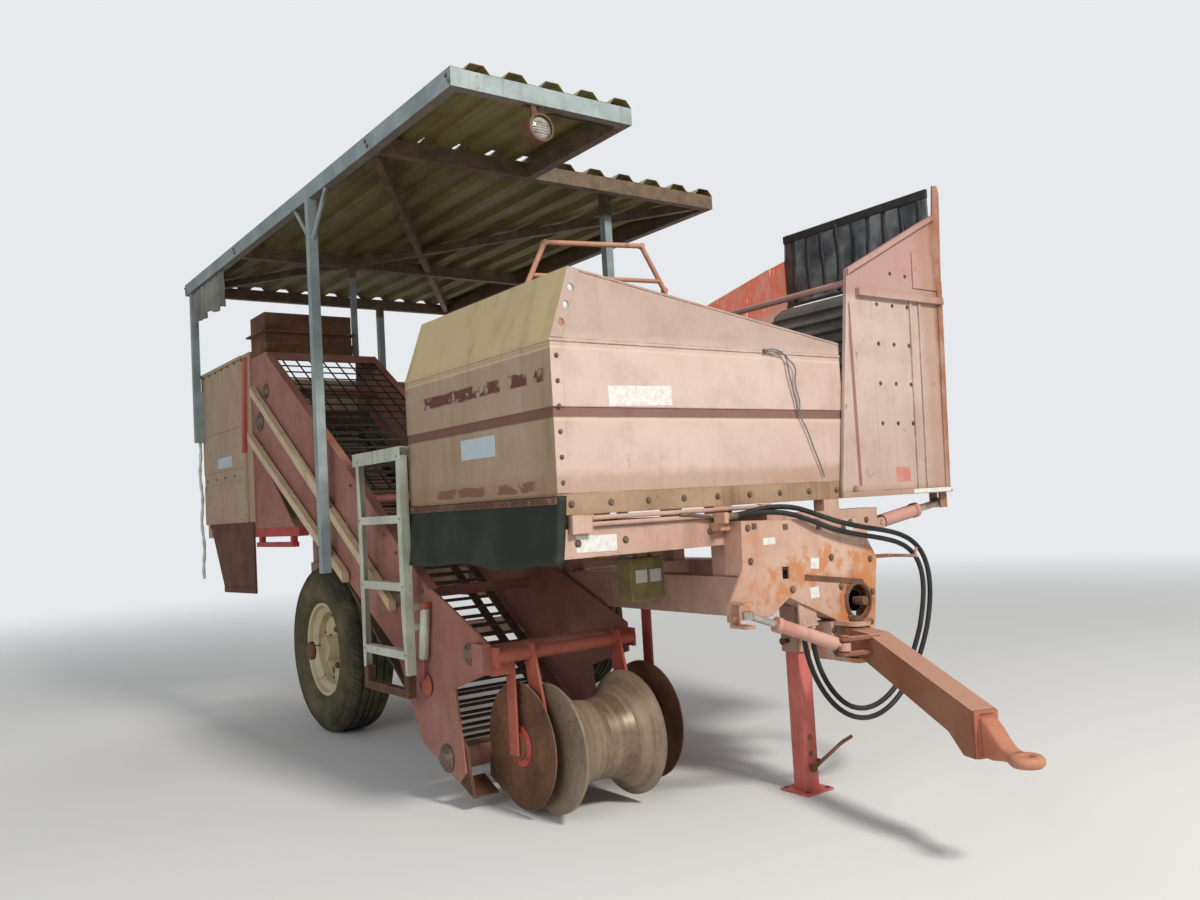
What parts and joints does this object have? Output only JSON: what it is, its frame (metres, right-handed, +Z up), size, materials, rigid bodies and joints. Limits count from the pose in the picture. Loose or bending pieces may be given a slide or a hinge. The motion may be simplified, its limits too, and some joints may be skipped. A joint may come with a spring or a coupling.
{
  "type": "potato harvester",
  "caption": "Trailed potato harvester: side-set digging web with ridge roller, front bunker, folded discharge boom, picking canopy, two wheels, drawbar and parking jack.",
  "frame": {"origin": "on the ground, under the middle of the machine's bounding box", "axes": "+X the machine's left, +Y its rear, +Z up"},
  "size_m": [2.49, 6.1, 3.166],
  "materials": {
    "pink_paint": "matt, sun-bleached",
    "orange_paint": "matt",
    "rust": "rusty",
    "bunker_paint": "matt, sun-bleached",
    "cream_paint": "matt, lichened",
    "rubber": "matt",
    "mesh_green": "matt",
    "red_paint": "matt",
    "galvanised": "dull zinc",
    "sheet": "dull zinc",
    "tyre": "matt",
    "rim_paint": "rusty cream",
    "chrome": "bright",
    "hose": "matt"
  },
  "bodies": {
    "chassis": {"main_frame": "pink_paint", "headstock": "orange_paint", "gearbox": "rust", "bunker": "bunker_paint", "bunker_sill": "cream_paint", "bunker_floor": "rust", "rubber_skirt": "rubber", "pipes": "pink_paint", "web_sides": "pink_paint", "web_rails": "cream_paint", "digging_web": "rust", "web_mesh": "mesh_green", "share": "rust", "roller_arms": "red_paint", "rear_frame": "red_paint", "rear_housing": "pink_paint", "rear_flap": "pink_paint", "rear_hopper": "rust", "picking_table": "pink_paint", "fill_elevator": "orange_paint", "guard_rail": "orange_paint", "platform": "rust", "ladder": "galvanised", "step_frame": "rust", "canopy_frame": "galvanised", "canopy_sheets": "sheet", "work_lamp": "rust", "roof_curtain": "galvanised", "hose_a": "hose", "hose_b": "hose"},
    "wheel_right": {"tyre_right": "tyre", "rim_right": "rim_paint"},
    "wheel_left": {"tyre_left": "tyre", "rim_left": "rim_paint"},
    "ridge_roller_body": {"ridge_roller": "rust"},
    "disc_right_body": {"disc_right": "rust"},
    "disc_left_body": {"disc_left": "rust"},
    "drawbar_body": {"drawbar": "pink_paint", "hitch_eye": "orange_paint"},
    "steer_barrel_body": {"steer_barrel": "red_paint"},
    "steer_rod_body": {"steer_rod": "chrome"},
    "jack_leg_body": {"jack_leg": "red_paint"},
    "boom": {"boom_frame": "bunker_paint", "boom_belt": "galvanised", "boom_flap": "rubber"},
    "boom_barrel_body": {"boom_barrel": "red_paint"},
    "boom_rod_body": {"boom_rod": "chrome"}
  },
  "joints": [
    {"name": "wheel_right_spin", "type": "hinge", "parent": "chassis", "child": "wheel_right", "pos_m": [-0.85, 1.15, 0.5], "axis": [1, 0, 0], "continuous": true},
    {"name": "wheel_left_spin", "type": "hinge", "parent": "chassis", "child": "wheel_left", "pos_m": [0.85, 1.15, 0.5], "axis": [1, 0, 0], "continuous": true},
    {"name": "ridge_roller_spin", "type": "hinge", "parent": "chassis", "child": "ridge_roller_body", "pos_m": [-0.735, -1.33, 0.29], "axis": [1, 0, 0], "continuous": true},
    {"name": "disc_right_spin", "type": "hinge", "parent": "chassis", "child": "disc_right_body", "pos_m": [-0.99, -1.19, 0.29], "axis": [1, 0, 0], "continuous": true},
    {"name": "disc_left_spin", "type": "hinge", "parent": "chassis", "child": "disc_left_body", "pos_m": [-0.32, -1.19, 0.29], "axis": [1, 0, 0], "continuous": true},
    {"name": "drawbar_steer", "type": "hinge", "parent": "chassis", "child": "drawbar_body", "pos_m": [0.19, -2.03, 0.645], "axis": [0, 0, 1], "range_deg": [-20, 20]},
    {"name": "steer_barrel_swing", "type": "hinge", "parent": "drawbar_body", "child": "steer_barrel_body", "pos_m": [-0.02, -2.14, 0.655], "axis": [0, 0, 1], "range_deg": [-28.43, 28.43]},
    {"name": "steer_rod_slide", "type": "slide", "parent": "steer_barrel_body", "child": "steer_rod_body", "axis": [-0.9043, 0.2368, 0.3552], "range_m": [-0.0515, 0.0515]},
    {"name": "jack_lift", "type": "slide", "parent": "chassis", "child": "jack_leg_body", "axis": [0, 0, 1], "range_m": [0, 0.35]},
    {"name": "boom_lower", "type": "hinge", "parent": "chassis", "child": "boom", "pos_m": [0.44, -1.358, 1.29], "axis": [0, 1, 0], "range_deg": [0, 30]},
    {"name": "boom_barrel_swing", "type": "hinge", "parent": "chassis", "child": "boom_barrel_body", "pos_m": [0.66, -1.795, 1.125], "axis": [0, 1, 0], "range_deg": [-0.5, 46.65]},
    {"name": "boom_rod_slide", "type": "slide", "parent": "boom_barrel_body", "child": "boom_rod_body", "axis": [0.9885, 0, 0.1513], "range_m": [-0.057, 0.002]}
  ],
  "couplings": [
    {"joint": "steer_barrel_swing", "follows": "drawbar_steer", "ratio": -1.3967},
    {"joint": "steer_rod_slide", "follows": "drawbar_steer", "m_per_rad": 0.14182},
    {"joint": "boom_barrel_swing", "follows": "boom_lower", "ratio": 1.5383},
    {"joint": "boom_rod_slide", "follows": "boom_lower", "m_per_rad": -0.10507}
  ]
}
